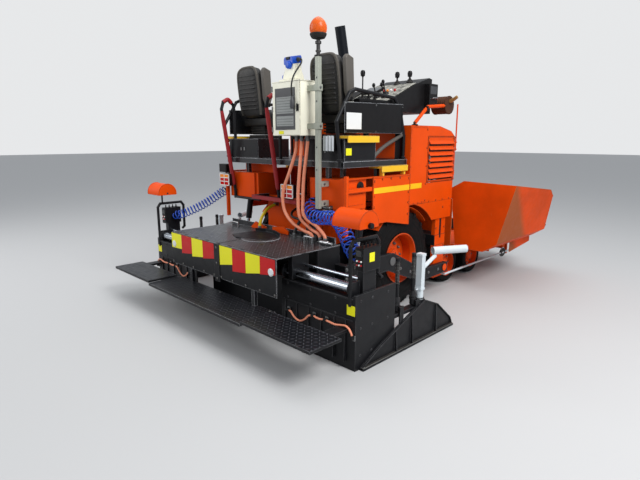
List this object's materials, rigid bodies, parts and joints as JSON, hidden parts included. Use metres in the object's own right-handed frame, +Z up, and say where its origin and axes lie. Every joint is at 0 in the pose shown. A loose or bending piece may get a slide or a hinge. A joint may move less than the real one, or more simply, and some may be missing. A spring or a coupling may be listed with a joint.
{
  "type": "wheeled asphalt paver",
  "caption": "Wheeled asphalt paver with folding hopper wings, a slat conveyor, augers and a floating screed with sliding extensions.",
  "frame": {"origin": "on the ground below the middle of the machine's length and width", "axes": "+X to the machine's right, +Y forward towards the hopper, +Z up"},
  "size_m": [3.3828, 4.972, 3.0799],
  "materials": {
    "frame_black": "satin",
    "screed_black": "satin",
    "orange_paint": "gloss",
    "yellow_grip": "matte",
    "marker_yellow": "satin",
    "cream_paint": "satin",
    "mast_green": "satin",
    "light_grey": "satin",
    "brown_rust": "rough",
    "worn_steel": "worn",
    "bright_steel": "polished",
    "tyre_rubber": "matte",
    "hose_rubber": "matte",
    "coil_blue": "satin",
    "black_plastic": "grained",
    "seat_cloth": "woven",
    "lamp_plastic": "gloss"
  },
  "bodies": {
    "tractor": {"chassis_frame": "frame_black", "conveyor": "worn_steel", "engine_block": "frame_black", "running_gear": "frame_black", "hopper_body": "orange_paint", "engine_hood": "orange_paint", "side_panels": "orange_paint", "rear_tanks": "orange_paint", "platform": "frame_black", "yellow_steps": "yellow_grip", "handrails": "frame_black", "console": "black_plastic", "seats": "black_plastic", "seat_cushions": "seat_cloth", "electrical_box": "cream_paint", "mast": "mast_green", "exhaust_stack": "frame_black", "muffler": "brown_rust", "lamps": "lamp_plastic", "guide_rod": "light_grey", "hoses": "hose_rubber", "coils": "coil_blue"},
    "door_left": {"service_door_left": "orange_paint"},
    "door_right": {"service_door_right": "orange_paint"},
    "rear_wheel_left": {"rear_tyre_left": "tyre_rubber", "rear_rim_left": "orange_paint"},
    "rear_wheel_right": {"rear_tyre_right": "tyre_rubber", "rear_rim_right": "orange_paint"},
    "screed": {"tow_arms": "screed_black", "base_screed": "screed_black", "screed_deck": "frame_black", "marker_panels": "marker_yellow"},
    "lift_barrels": {"lift_barrels": "frame_black"},
    "lift_rods": {"lift_rods": "bright_steel"},
    "extension_left": {"extension_left": "screed_black", "guide_tubes_left": "bright_steel"},
    "station_hood_left": {"station_hood_left": "orange_paint"},
    "end_gate_left": {"end_gate_left": "screed_black"},
    "sensor_arm_left": {"sensor_arm_left": "light_grey"},
    "auger_left": {"auger_left": "worn_steel"},
    "push_roller_left": {"push_roller_left": "worn_steel"},
    "hopper_wing_left": {"hopper_wing_left": "orange_paint"},
    "knuckle_left_rear": {"knuckle_left_rear": "frame_black"},
    "front_wheel_left_rear": {"front_wheel_left_rear": "tyre_rubber"},
    "knuckle_left_front": {"knuckle_left_front": "frame_black"},
    "front_wheel_left_front": {"front_wheel_left_front": "tyre_rubber"},
    "extension_right": {"extension_right": "screed_black", "guide_tubes_right": "bright_steel"},
    "station_hood_right": {"station_hood_right": "orange_paint"},
    "end_gate_right": {"end_gate_right": "screed_black"},
    "sensor_arm_right": {"sensor_arm_right": "light_grey"},
    "auger_right": {"auger_right": "worn_steel"},
    "push_roller_right": {"push_roller_right": "worn_steel"},
    "hopper_wing_right": {"hopper_wing_right": "orange_paint"},
    "knuckle_right_rear": {"knuckle_right_rear": "frame_black"},
    "front_wheel_right_rear": {"front_wheel_right_rear": "tyre_rubber"},
    "knuckle_right_front": {"knuckle_right_front": "frame_black"},
    "front_wheel_right_front": {"front_wheel_right_front": "tyre_rubber"}
  },
  "joints": [
    {"name": "rear_wheel_left_spin", "type": "hinge", "parent": "tractor", "child": "rear_wheel_left", "pos_m": [-0.76, -0.474, 0.526], "axis": [1, 0, 0], "continuous": true},
    {"name": "steer_left_rear", "type": "hinge", "parent": "tractor", "child": "knuckle_left_rear", "pos_m": [-0.533, 0.676, 0.23], "axis": [0, 0, 1], "range_deg": [-20, 20]},
    {"name": "front_wheel_left_rear_spin", "type": "hinge", "parent": "knuckle_left_rear", "child": "front_wheel_left_rear", "pos_m": [-0.6905, 0.676, 0.23], "axis": [1, 0, 0], "continuous": true},
    {"name": "steer_left_front", "type": "hinge", "parent": "tractor", "child": "knuckle_left_front", "pos_m": [-0.533, 1.296, 0.23], "axis": [0, 0, 1], "range_deg": [-20, 20]},
    {"name": "front_wheel_left_front_spin", "type": "hinge", "parent": "knuckle_left_front", "child": "front_wheel_left_front", "pos_m": [-0.6905, 1.296, 0.23], "axis": [1, 0, 0], "continuous": true},
    {"name": "push_roller_left_spin", "type": "hinge", "parent": "tractor", "child": "push_roller_left", "pos_m": [-0.442, 2.406, 0.3], "axis": [1, 0, 0], "continuous": true},
    {"name": "auger_left_spin", "type": "hinge", "parent": "tractor", "child": "auger_left", "pos_m": [-0.441, -1.212, 0.236], "axis": [1, 0, 0], "continuous": true},
    {"name": "hopper_wing_left_fold", "type": "hinge", "parent": "tractor", "child": "hopper_wing_left", "pos_m": [-0.9, 1.3435, 0.49], "axis": [0, 1, 0], "range_deg": [0, 75]},
    {"name": "service_door_left_open", "type": "hinge", "parent": "tractor", "child": "door_left", "pos_m": [-0.929, 0.47, 1.545], "axis": [0, 0, -1], "range_deg": [0, 90]},
    {"name": "extension_left_slide", "type": "slide", "parent": "screed", "child": "extension_left", "axis": [-1, 0, 0], "range_m": [-0.5, 0.1]},
    {"name": "station_hood_left_tilt", "type": "hinge", "parent": "extension_left", "child": "station_hood_left", "pos_m": [-1.49, -1.914, 1.15], "axis": [-1, 0, 0], "range_deg": [0, 65]},
    {"name": "end_gate_left_height", "type": "slide", "parent": "extension_left", "child": "end_gate_left", "axis": [0, 0, 1], "range_m": [0, 0.1]},
    {"name": "sensor_arm_left_swing", "type": "hinge", "parent": "end_gate_left", "child": "sensor_arm_left", "pos_m": [-1.545, -1.094, 0.575], "axis": [0, 0, 1], "range_deg": [0, 60]},
    {"name": "rear_wheel_right_spin", "type": "hinge", "parent": "tractor", "child": "rear_wheel_right", "pos_m": [0.76, -0.474, 0.526], "axis": [1, 0, 0], "continuous": true},
    {"name": "steer_right_rear", "type": "hinge", "parent": "tractor", "child": "knuckle_right_rear", "pos_m": [0.533, 0.676, 0.23], "axis": [0, 0, 1], "range_deg": [-20, 20]},
    {"name": "front_wheel_right_rear_spin", "type": "hinge", "parent": "knuckle_right_rear", "child": "front_wheel_right_rear", "pos_m": [0.6905, 0.676, 0.23], "axis": [1, 0, 0], "continuous": true},
    {"name": "steer_right_front", "type": "hinge", "parent": "tractor", "child": "knuckle_right_front", "pos_m": [0.533, 1.296, 0.23], "axis": [0, 0, 1], "range_deg": [-20, 20]},
    {"name": "front_wheel_right_front_spin", "type": "hinge", "parent": "knuckle_right_front", "child": "front_wheel_right_front", "pos_m": [0.6905, 1.296, 0.23], "axis": [1, 0, 0], "continuous": true},
    {"name": "push_roller_right_spin", "type": "hinge", "parent": "tractor", "child": "push_roller_right", "pos_m": [0.442, 2.406, 0.3], "axis": [1, 0, 0], "continuous": true},
    {"name": "auger_right_spin", "type": "hinge", "parent": "tractor", "child": "auger_right", "pos_m": [0.441, -1.212, 0.236], "axis": [1, 0, 0], "continuous": true},
    {"name": "hopper_wing_right_fold", "type": "hinge", "parent": "tractor", "child": "hopper_wing_right", "pos_m": [0.9, 1.3435, 0.49], "axis": [0, -1, 0], "range_deg": [0, 75]},
    {"name": "service_door_right_open", "type": "hinge", "parent": "tractor", "child": "door_right", "pos_m": [0.929, 0.47, 1.545], "axis": [0, 0, 1], "range_deg": [0, 90]},
    {"name": "extension_right_slide", "type": "slide", "parent": "screed", "child": "extension_right", "axis": [1, 0, 0], "range_m": [-0.5, 0.1]},
    {"name": "station_hood_right_tilt", "type": "hinge", "parent": "extension_right", "child": "station_hood_right", "pos_m": [1.49, -1.914, 1.15], "axis": [-1, 0, 0], "range_deg": [0, 65]},
    {"name": "end_gate_right_height", "type": "slide", "parent": "extension_right", "child": "end_gate_right", "axis": [0, 0, 1], "range_m": [0, 0.1]},
    {"name": "sensor_arm_right_swing", "type": "hinge", "parent": "end_gate_right", "child": "sensor_arm_right", "pos_m": [1.545, -1.094, 0.575], "axis": [0, 0, -1], "range_deg": [0, 60]},
    {"name": "screed_lift", "type": "hinge", "parent": "tractor", "child": "screed", "pos_m": [0, 0.276, 0.3], "axis": [-1, 0, 0], "range_deg": [0, 8], "deforming": ["hoses", "coils"]},
    {"name": "lift_barrel_tilt", "type": "hinge", "parent": "tractor", "child": "lift_barrels", "pos_m": [0, -1.094, 1.085], "axis": [-1, 0, 0], "range_deg": [-4.64, 1]},
    {"name": "lift_rod_slide", "type": "slide", "parent": "lift_barrels", "child": "lift_rods", "axis": [0, -0.1627, -0.9867], "range_m": [-0.2064, 0.002]}
  ],
  "couplings": [
    {"joint": "steer_left_rear", "follows": "steer_left_front", "ratio": 1},
    {"joint": "steer_right_rear", "follows": "steer_left_front", "ratio": 1},
    {"joint": "steer_right_front", "follows": "steer_left_front", "ratio": 1},
    {"joint": "lift_barrel_tilt", "follows": "screed_lift", "ratio": -0.455},
    {"joint": "lift_rod_slide", "follows": "screed_lift", "m_per_rad": -1.464}
  ]
}
